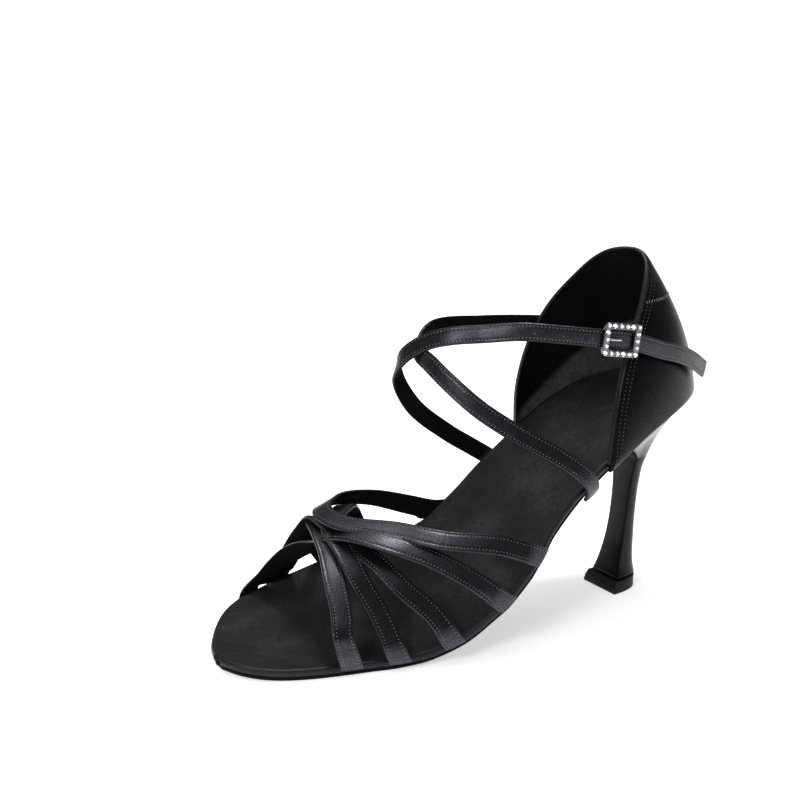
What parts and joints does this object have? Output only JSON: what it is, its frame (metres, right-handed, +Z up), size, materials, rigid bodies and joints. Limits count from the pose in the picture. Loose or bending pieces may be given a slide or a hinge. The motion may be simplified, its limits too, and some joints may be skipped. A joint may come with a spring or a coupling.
{
  "type": "ballroom dance sandal",
  "caption": "Left ballroom dance sandal with a flared heel, a closed counter, crossed ankle straps with a small buckle and a knotted vamp.",
  "frame": {"origin": "centre of the heel tip's bottom face, on the floor", "axes": "+X to the toe, +Y to the wearer's left (the outer side of this left shoe), +Z up"},
  "size_m": [0.2034, 0.1, 0.1401],
  "materials": {
    "satin": "black satin over leather, soft violet-grey sheen",
    "sock": "matte napped charcoal sock",
    "sole": "thin suede dance sole",
    "heel_cover": "black satin cover, satin gloss",
    "tip": "matte black top piece",
    "buckle": "polished, set with clear stones"
  },
  "bodies": {
    "root": {"outsole": "sole", "insole": "sock", "heel": "heel_cover", "heel_tip": "tip", "counter": "satin", "vamp_straps": "satin", "cross_straps": "satin", "buckle_tab": "satin", "buckle_frame": "buckle", "buckle_keeper": "buckle", "buckle_prong": "buckle"}
  },
  "joints": []
}
